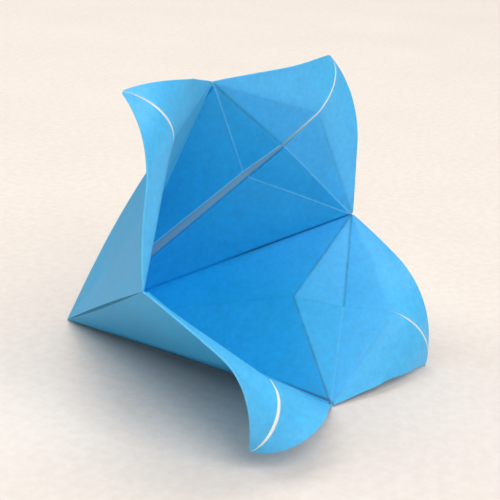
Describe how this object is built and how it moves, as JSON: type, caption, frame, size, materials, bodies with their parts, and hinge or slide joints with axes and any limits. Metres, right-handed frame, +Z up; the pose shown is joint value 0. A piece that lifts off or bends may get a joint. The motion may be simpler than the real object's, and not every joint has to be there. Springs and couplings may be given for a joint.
{
  "type": "origami bellflower",
  "caption": "Paper bellflower folded from a square sheet: a bell of flat panels with outward curling petals, lying on its side.",
  "frame": {"origin": "on the table, under the middle of the box round the flower", "axes": "+Z up from the table the flower lies on, -Y the way its mouth opens, +X to the right of someone looking into the mouth"},
  "size_m": [0.0656, 0.0644, 0.054],
  "materials": {
    "blue_paper": "matt dyed paper with a white reverse"
  },
  "bodies": {
    "root": {"bellflower": "blue_paper"}
  },
  "joints": []
}
